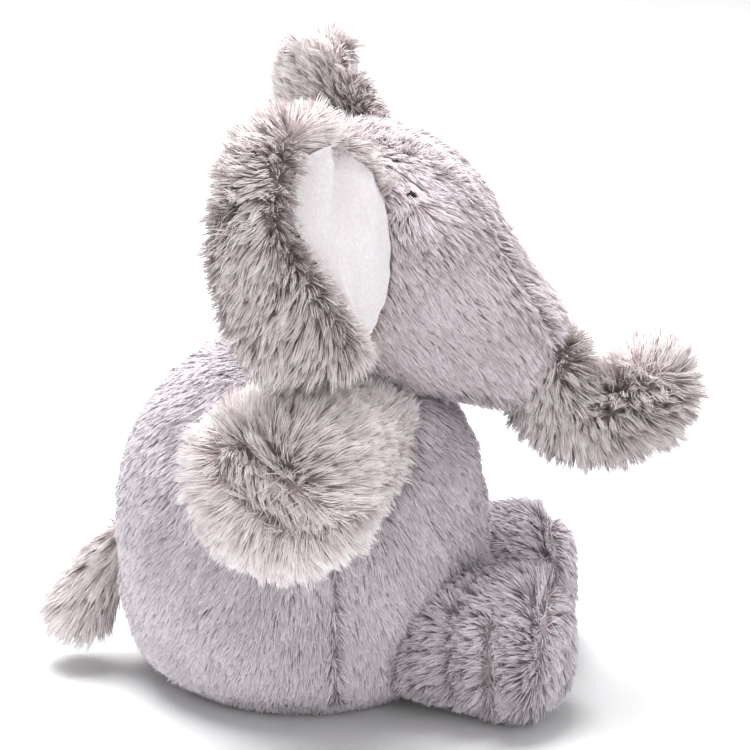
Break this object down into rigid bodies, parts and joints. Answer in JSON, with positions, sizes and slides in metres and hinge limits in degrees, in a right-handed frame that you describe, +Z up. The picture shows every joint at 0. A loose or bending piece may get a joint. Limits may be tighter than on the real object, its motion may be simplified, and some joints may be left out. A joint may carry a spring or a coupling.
{
  "type": "stuffed elephant",
  "caption": "Sitting long-pile plush elephant with smooth-lined ears, raised trunk, flat paws and round feet, sewn from separate fur panels over soft filling",
  "frame": {"origin": "the middle of the toy's box, on the surface it sits on", "axes": "+X is the way the elephant faces, +Y is its left side, +Z is up"},
  "size_m": [0.2678, 0.2373, 0.2608],
  "materials": {
    "fur": "matte",
    "lining": "matte",
    "filling": "matte",
    "bag": "matte",
    "eye": "gloss",
    "washer": "matte"
  },
  "bodies": {
    "body": {"body_back_panel_right": "fur", "body_back_panel_left": "fur", "body_belly_panel_right": "fur", "body_belly_panel_left": "fur", "body_base_panel": "fur", "body_filling": "filling", "pellet_bag": "bag"},
    "head": {"head_filling": "filling", "head_gusset": "fur", "head_panel_right": "fur", "head_panel_left": "fur", "eye_right": "eye", "eye_left": "eye", "eye_washer_right": "washer", "eye_washer_left": "washer"},
    "trunk": {"trunk_panel_right": "fur", "trunk_panel_left": "fur", "trunk_tip_panel": "fur", "trunk_filling": "filling"},
    "tail": {"tail_skin": "fur", "tail_filling": "filling"},
    "ear_right": {"ear_right_fur_back": "fur", "ear_right_wadding": "filling", "ear_right_lining": "lining"},
    "arm_right": {"arm_right_top_panel": "fur", "arm_right_under_panel": "fur", "arm_right_paw_panel": "fur", "arm_right_filling": "filling"},
    "leg_right": {"leg_right_top_panel": "fur", "leg_right_under_panel": "fur", "leg_right_sole_panel": "fur", "leg_right_filling": "filling"},
    "ear_left": {"ear_left_fur_back": "fur", "ear_left_wadding": "filling", "ear_left_lining": "lining"},
    "arm_left": {"arm_left_top_panel": "fur", "arm_left_under_panel": "fur", "arm_left_paw_panel": "fur", "arm_left_filling": "filling"},
    "leg_left": {"leg_left_top_panel": "fur", "leg_left_under_panel": "fur", "leg_left_sole_panel": "fur", "leg_left_filling": "filling"}
  },
  "joints": [
    {"name": "neck_nod", "type": "hinge", "parent": "body", "child": "head", "pos_m": [0.0008, 0, 0.187], "axis": [0, 1, 0], "range_deg": [-8, 5]},
    {"name": "trunk_curl", "type": "hinge", "parent": "head", "child": "trunk", "pos_m": [0.07373, 0, 0.14143], "axis": [0, 1, 0], "range_deg": [-15, 10]},
    {"name": "tail_lift", "type": "hinge", "parent": "body", "child": "tail", "pos_m": [-0.1022, 0, 0.06], "axis": [0, -1, 0], "range_deg": [-12, 10]},
    {"name": "ear_right_flap", "type": "hinge", "parent": "head", "child": "ear_right", "pos_m": [0.0138, -0.047, 0.206], "axis": [-0.0567, 0.2369, 0.9699], "range_deg": [-10, 12]},
    {"name": "arm_right_swing", "type": "hinge", "parent": "body", "child": "arm_right", "pos_m": [0.0028, -0.036, 0.122], "axis": [0.8821, -0.4711, 0], "range_deg": [-5, 18]},
    {"name": "leg_right_lift", "type": "hinge", "parent": "body", "child": "leg_right", "pos_m": [0.0318, -0.0345, 0.0307], "axis": [0.1045, 0.9945, 0], "range_deg": [-12, 0]},
    {"name": "ear_left_flap", "type": "hinge", "parent": "head", "child": "ear_left", "pos_m": [0.0108, 0.047, 0.206], "axis": [-0.084, -0.2423, 0.9666], "range_deg": [-10, 12]},
    {"name": "arm_left_swing", "type": "hinge", "parent": "body", "child": "arm_left", "pos_m": [0.0028, 0.036, 0.122], "axis": [-0.8821, -0.4711, 0], "range_deg": [-5, 18]},
    {"name": "leg_left_lift", "type": "hinge", "parent": "body", "child": "leg_left", "pos_m": [0.0318, 0.0345, 0.0307], "axis": [-0.1045, 0.9945, 0], "range_deg": [-12, 0]}
  ]
}
